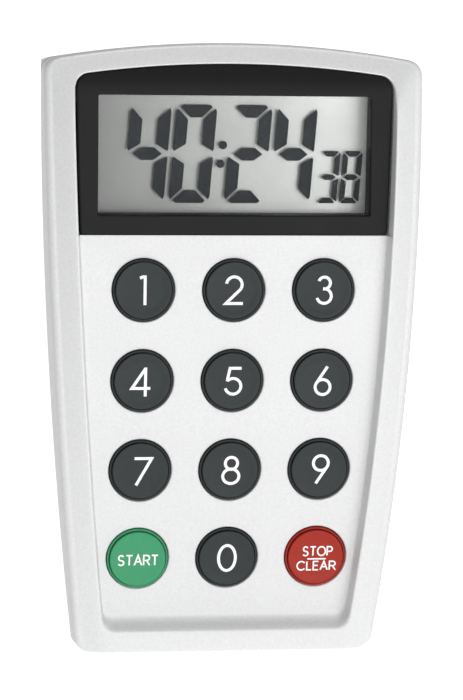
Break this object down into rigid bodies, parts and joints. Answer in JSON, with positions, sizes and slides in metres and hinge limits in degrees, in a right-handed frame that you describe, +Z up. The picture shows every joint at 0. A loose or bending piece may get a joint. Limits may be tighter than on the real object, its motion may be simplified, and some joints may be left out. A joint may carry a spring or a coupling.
{
  "type": "kitchen timer",
  "caption": "Hand-held electronic countdown timer with a bowed keypad panel, round keys, a hooded digital display, a fold-out stand and magnets on its back.",
  "frame": {"origin": "centre of the bounding box's bottom face: the middle of the flat bottom edge, half way through the case's depth", "axes": "+Z up from the flat bottom edge to the display end, -Y out of the keypad's front, +Y out of the back with the stand and magnets, +X to the right seen from the front"},
  "size_m": [0.069, 0.0196, 0.1105],
  "materials": {
    "silver_paint": "satin silver paint on moulded plastic",
    "back_silver": "fine-textured silver-grey moulded plastic",
    "bezel_black": "satin black moulded plastic",
    "clear_window": "polished clear plastic",
    "display_glass": "polished thin glass",
    "reflector": "satin grey reflective film",
    "white_plastic": "plain white moulded plastic",
    "connector_rubber": "matt striped silicone rubber",
    "key_grey": "fine matt dark grey",
    "key_green": "fine matt green",
    "key_red": "fine matt red",
    "mat_silicone": "matt grey silicone",
    "board_laminate": "green coated circuit board laminate",
    "resin_black": "smooth black resin",
    "nickel": "nickel-plated steel",
    "chip_ceramic": "fired ceramic",
    "zinc_steel": "zinc-plated steel",
    "buzzer_brass": "rolled brass",
    "buzzer_ceramic_white": "fired ceramic with a silver coat",
    "lead_red": "soft red sleeve",
    "lead_black": "soft black sleeve",
    "stand_grey": "fine-textured silver-grey moulded plastic",
    "magnet_plating": "nickel-plated magnet"
  },
  "bodies": {
    "case": {"front_housing": "silver_paint", "display_bezel": "bezel_black", "display_window": "clear_window", "lcd_front_glass": "display_glass", "lcd_rear_glass": "display_glass", "lcd_reflector": "reflector", "lcd_frame": "white_plastic", "connector_strip_upper": "connector_rubber", "connector_strip_lower": "connector_rubber", "keypad_mat": "mat_silicone", "circuit_board": "board_laminate", "controller_blob": "resin_black", "quartz_crystal": "nickel", "chip_parts": "chip_ceramic", "board_screws": "zinc_steel", "rear_housing": "back_silver", "button_cell": "nickel", "contact_negative": "nickel", "contact_positive": "nickel", "buzzer_disc": "buzzer_brass", "buzzer_ceramic": "buzzer_ceramic_white", "buzzer_lead_red": "lead_red", "buzzer_lead_black": "lead_black", "magnet_right": "magnet_plating", "magnet_left": "magnet_plating", "case_screws": "zinc_steel"},
    "key_1_button": {"key_1": "key_grey"},
    "key_2_button": {"key_2": "key_grey"},
    "key_3_button": {"key_3": "key_grey"},
    "key_4_button": {"key_4": "key_grey"},
    "key_5_button": {"key_5": "key_grey"},
    "key_6_button": {"key_6": "key_grey"},
    "key_7_button": {"key_7": "key_grey"},
    "key_8_button": {"key_8": "key_grey"},
    "key_9_button": {"key_9": "key_grey"},
    "key_start_button": {"key_start": "key_green"},
    "key_0_button": {"key_0": "key_grey"},
    "key_stop_clear_button": {"key_stop_clear": "key_red"},
    "stand_flap": {"stand": "stand_grey"},
    "cover": {"battery_cover": "back_silver"}
  },
  "joints": [
    {"name": "key_1_travel", "type": "slide", "parent": "case", "child": "key_1_button", "axis": [0, 0.9995, -0.0324], "range_m": [0, 0.0009], "stiffness_N_per_m": 800, "springref_m": -0.0005},
    {"name": "key_2_travel", "type": "slide", "parent": "case", "child": "key_2_button", "axis": [0, 0.9995, -0.0324], "range_m": [0, 0.0009], "stiffness_N_per_m": 800, "springref_m": -0.0005},
    {"name": "key_3_travel", "type": "slide", "parent": "case", "child": "key_3_button", "axis": [0, 0.9995, -0.0324], "range_m": [0, 0.0009], "stiffness_N_per_m": 800, "springref_m": -0.0005},
    {"name": "key_4_travel", "type": "slide", "parent": "case", "child": "key_4_button", "axis": [0, 0.9998, 0.0177], "range_m": [0, 0.0009], "stiffness_N_per_m": 800, "springref_m": -0.0005},
    {"name": "key_5_travel", "type": "slide", "parent": "case", "child": "key_5_button", "axis": [0, 0.9998, 0.0177], "range_m": [0, 0.0009], "stiffness_N_per_m": 800, "springref_m": -0.0005},
    {"name": "key_6_travel", "type": "slide", "parent": "case", "child": "key_6_button", "axis": [0, 0.9998, 0.0177], "range_m": [0, 0.0009], "stiffness_N_per_m": 800, "springref_m": -0.0005},
    {"name": "key_7_travel", "type": "slide", "parent": "case", "child": "key_7_button", "axis": [0, 0.9977, 0.0679], "range_m": [0, 0.0009], "stiffness_N_per_m": 800, "springref_m": -0.0005},
    {"name": "key_8_travel", "type": "slide", "parent": "case", "child": "key_8_button", "axis": [0, 0.9977, 0.0679], "range_m": [0, 0.0009], "stiffness_N_per_m": 800, "springref_m": -0.0005},
    {"name": "key_9_travel", "type": "slide", "parent": "case", "child": "key_9_button", "axis": [0, 0.9977, 0.0679], "range_m": [0, 0.0009], "stiffness_N_per_m": 800, "springref_m": -0.0005},
    {"name": "key_start_travel", "type": "slide", "parent": "case", "child": "key_start_button", "axis": [0, 0.993, 0.118], "range_m": [0, 0.0009], "stiffness_N_per_m": 800, "springref_m": -0.0005},
    {"name": "key_0_travel", "type": "slide", "parent": "case", "child": "key_0_button", "axis": [0, 0.993, 0.118], "range_m": [0, 0.0009], "stiffness_N_per_m": 800, "springref_m": -0.0005},
    {"name": "key_stop_clear_travel", "type": "slide", "parent": "case", "child": "key_stop_clear_button", "axis": [0, 0.993, 0.118], "range_m": [0, 0.0009], "stiffness_N_per_m": 800, "springref_m": -0.0005},
    {"name": "stand_hinge", "type": "hinge", "parent": "case", "child": "stand_flap", "pos_m": [0, 0.00865, 0.0485], "axis": [1, 0, 0], "range_deg": [0, 55]},
    {"name": "battery_cover_turn", "type": "hinge", "parent": "case", "child": "cover", "pos_m": [0, 0.0075, 0.09], "axis": [0, 1, 0], "range_deg": [0, 50]}
  ]
}
